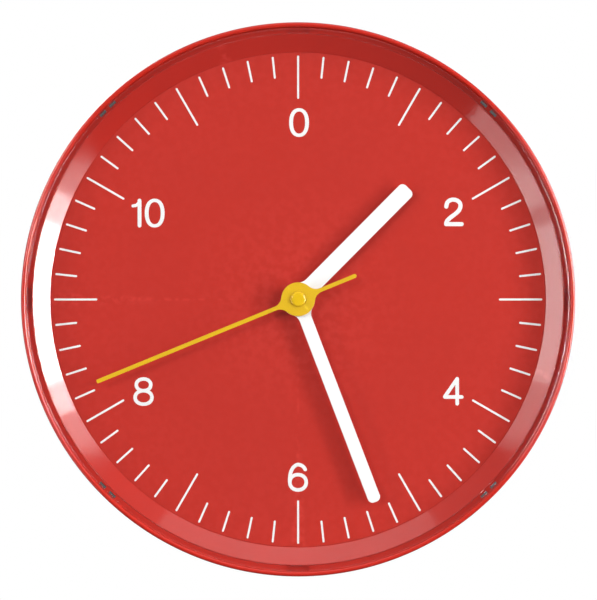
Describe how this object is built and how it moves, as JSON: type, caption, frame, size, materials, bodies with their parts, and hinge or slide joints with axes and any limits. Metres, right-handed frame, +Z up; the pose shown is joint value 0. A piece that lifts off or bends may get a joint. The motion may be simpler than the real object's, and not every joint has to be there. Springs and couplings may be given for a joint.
{
  "type": "wall clock",
  "caption": "Round red wall clock with a moulded case, clear snap-in lens, printed dial, white hour and minute hands, yellow second hand and a battery quartz movement behind the dial.",
  "frame": {"origin": "on the axis that the hands turn about, halfway between the front edge of the case and its back edge", "axes": "+Z up, towards the 0 of the dial; +Y back towards the wall; +X to the right for someone facing the dial, towards three o'clock"},
  "size_m": [0.265, 0.0336, 0.265],
  "materials": {
    "case_plastic": "gloss",
    "dial_print": "satin",
    "clear_plastic": "polished",
    "white_hand": "satin",
    "yellow_plastic": "satin",
    "brass": "satin",
    "black_rubber": "matte",
    "black_plastic": "satin",
    "natural_plastic": "satin",
    "zinc_plated_steel": "satin",
    "contact_steel": "polished",
    "soft_iron": "satin",
    "magnet": "satin",
    "copper_wire": "gloss",
    "board": "satin",
    "cell": "satin"
  },
  "bodies": {
    "case": {"case_shell": "case_plastic", "lens": "clear_plastic", "dial": "dial_print", "hex_nut": "brass", "nut_washer": "brass", "rubber_gasket": "black_rubber", "threaded_bush": "brass", "movement_housing": "black_plastic", "middle_plate": "natural_plastic", "train_bridge": "natural_plastic", "movement_cover": "black_plastic", "stator": "soft_iron", "coil_core": "soft_iron", "coil_bobbin": "natural_plastic", "coil_winding": "copper_wire", "circuit_board": "board", "quartz_crystal": "zinc_plated_steel", "control_chip": "black_plastic", "positive_contact": "contact_steel", "negative_contact": "contact_steel", "hanger_plate": "zinc_plated_steel", "hanger_screw_left": "zinc_plated_steel", "hanger_screw_right": "zinc_plated_steel"},
    "minute_hand_group": {"minute_hand": "white_hand", "cannon_pinion": "brass", "centre_wheel": "natural_plastic"},
    "hour_hand_group": {"hour_hand": "white_hand", "hour_wheel": "natural_plastic"},
    "second_hand_group": {"second_hand": "yellow_plastic", "second_hand_cap": "yellow_plastic", "second_wheel": "natural_plastic"},
    "third_wheel_group": {"third_wheel": "natural_plastic"},
    "intermediate_wheel_group": {"intermediate_wheel": "natural_plastic"},
    "rotor_group": {"rotor_magnet": "magnet", "rotor_pinion": "natural_plastic"},
    "minute_wheel_group": {"minute_wheel": "natural_plastic"},
    "knob_group": {"setting_knob": "black_plastic"},
    "battery_group": {"battery_cell": "cell"}
  },
  "joints": [
    {"name": "minute_hand", "type": "hinge", "parent": "case", "child": "minute_hand_group", "pos_m": [0, 0, 0], "axis": [0, 1, 0], "continuous": true},
    {"name": "hour_hand", "type": "hinge", "parent": "case", "child": "hour_hand_group", "pos_m": [0, 0, 0], "axis": [0, 1, 0], "continuous": true},
    {"name": "second_hand", "type": "hinge", "parent": "case", "child": "second_hand_group", "pos_m": [0, 0, 0], "axis": [0, 1, 0], "continuous": true},
    {"name": "third_wheel", "type": "hinge", "parent": "case", "child": "third_wheel_group", "pos_m": [-0.01205, 0, 0.00213], "axis": [0, 1, 0], "continuous": true},
    {"name": "intermediate_wheel", "type": "hinge", "parent": "case", "child": "intermediate_wheel_group", "pos_m": [0.01173, 0, 0.00427], "axis": [0, 1, 0], "continuous": true},
    {"name": "rotor", "type": "hinge", "parent": "case", "child": "rotor_group", "pos_m": [0.01767, 0, -0.00167], "axis": [0, 1, 0], "continuous": true},
    {"name": "minute_wheel", "type": "hinge", "parent": "case", "child": "minute_wheel_group", "pos_m": [-0.00516, 0, -0.00737], "axis": [0, 1, 0], "continuous": true},
    {"name": "setting_knob", "type": "hinge", "parent": "case", "child": "knob_group", "pos_m": [-0.01253, 0, -0.01253], "axis": [0, 1, 0], "continuous": true},
    {"name": "battery", "type": "slide", "parent": "case", "child": "battery_group", "axis": [0, 1, 0], "range_m": [0, 0.025]}
  ],
  "couplings": [
    {"joint": "hour_hand", "follows": "minute_hand", "ratio": 0.083333},
    {"joint": "second_hand", "follows": "minute_hand", "ratio": 60},
    {"joint": "third_wheel", "follows": "minute_hand", "ratio": -8},
    {"joint": "intermediate_wheel", "follows": "minute_hand", "ratio": -300},
    {"joint": "rotor", "follows": "minute_hand", "ratio": 1800},
    {"joint": "minute_wheel", "follows": "minute_hand", "ratio": -0.33333},
    {"joint": "setting_knob", "follows": "minute_hand", "ratio": 1}
  ]
}
